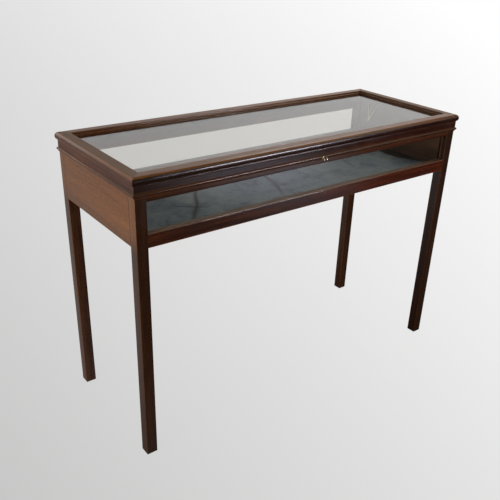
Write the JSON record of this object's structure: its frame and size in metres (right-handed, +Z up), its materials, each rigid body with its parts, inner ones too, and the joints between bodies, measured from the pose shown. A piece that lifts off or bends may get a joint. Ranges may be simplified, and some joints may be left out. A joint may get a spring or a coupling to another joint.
{
  "type": "display table",
  "caption": "Mahogany display table: glazed case on square legs under a hinged, glazed lid with a moulded edge, with lock and key, folding brass stay and laid cloth lining.",
  "frame": {"origin": "on the floor under the middle of the table", "axes": "+X to the table's right as seen from the front, +Y towards the hinged back, +Z up"},
  "size_m": [1.23, 0.4851, 0.86],
  "materials": {
    "mahogany": "french-polished dark mahogany, semi-gloss",
    "mahogany_faded": "polished mahogany, faded lighter at the ends",
    "base_board": "plain unpolished softwood board",
    "glass": "clear plate glass",
    "brass": "dull old brass",
    "iron": "worn steel of the key and bolt",
    "lining": "faded cloth, matt"
  },
  "bodies": {
    "case": {"leg_front_left": "mahogany", "leg_front_right": "mahogany", "leg_back_left": "mahogany", "leg_back_right": "mahogany", "bottom_rail_front": "mahogany", "bottom_rail_back": "mahogany", "top_rail_front": "mahogany", "top_rail_back": "mahogany", "astragal_front": "mahogany", "astragal_back": "mahogany", "astragal_left": "mahogany", "astragal_right": "mahogany", "glass_bead_front_top": "mahogany", "glass_bead_front_bottom": "mahogany", "glass_bead_front_left": "mahogany", "glass_bead_front_right": "mahogany", "glass_bead_back_top": "mahogany", "glass_bead_back_bottom": "mahogany", "glass_bead_back_left": "mahogany", "glass_bead_back_right": "mahogany", "end_panel_left": "mahogany_faded", "end_panel_right": "mahogany_faded", "base_board": "base_board", "lining": "lining", "glass_front": "glass", "glass_back": "glass", "hinge_screw_case_left_1": "brass", "hinge_screw_case_left_2": "brass", "hinge_screw_case_right_1": "brass", "hinge_screw_case_right_2": "brass", "lock_screw_left": "brass", "lock_screw_right": "brass", "lock_case": "brass", "escutcheon": "brass", "hinge_case_leaf_left": "brass", "hinge_case_leaf_right": "brass", "hinge_pin_left": "brass", "hinge_pin_right": "brass", "stay_screw_case": "brass"},
    "lid": {"lid_rail_front": "mahogany", "lid_rail_back": "mahogany", "lid_rail_left": "mahogany", "lid_rail_right": "mahogany", "lid_bead_front": "mahogany", "lid_bead_back": "mahogany", "lid_bead_left": "mahogany", "lid_bead_right": "mahogany", "hinge_screw_lid_left_1": "brass", "hinge_screw_lid_left_2": "brass", "hinge_screw_lid_right_1": "brass", "hinge_screw_lid_right_2": "brass", "lid_glass": "glass", "link_plate": "brass", "hinge_lid_leaf_left": "brass", "hinge_lid_leaf_right": "brass", "stay_screw_lid": "brass"},
    "stay_lower": {"stay_arm_lower": "brass"},
    "stay_upper": {"stay_arm_upper": "brass"},
    "key": {"key": "iron"},
    "bolt": {"lock_bolt": "iron"}
  },
  "joints": [
    {"name": "lid_hinge", "type": "hinge", "parent": "case", "child": "lid", "pos_m": [0, 0.232, 0.81785], "axis": [-1, 0, 0], "range_deg": [0, 74.73]},
    {"name": "stay_lower_pivot", "type": "hinge", "parent": "case", "child": "stay_lower", "pos_m": [0.5855, 0.154, 0.812], "axis": [-1, 0, 0], "range_deg": [0, 194.2]},
    {"name": "stay_upper_pivot", "type": "hinge", "parent": "lid", "child": "stay_upper", "pos_m": [0.5836, 0.101, 0.826], "axis": [-1, 0, 0], "range_deg": [-21.4, 0]},
    {"name": "key_turn", "type": "hinge", "parent": "case", "child": "key", "pos_m": [0, -0.228, 0.808], "axis": [0, 1, 0], "range_deg": [0, 180]},
    {"name": "bolt_slide", "type": "slide", "parent": "case", "child": "bolt", "axis": [1, 0, 0], "range_m": [0, 0.005]}
  ],
  "couplings": [
    {"joint": "stay_lower_pivot", "follows": "lid_hinge", "ratio": 2.5963},
    {"joint": "stay_upper_pivot", "follows": "lid_hinge", "ratio": -0.28418},
    {"joint": "key_turn", "follows": "bolt_slide", "rad_per_m": 628.32}
  ]
}
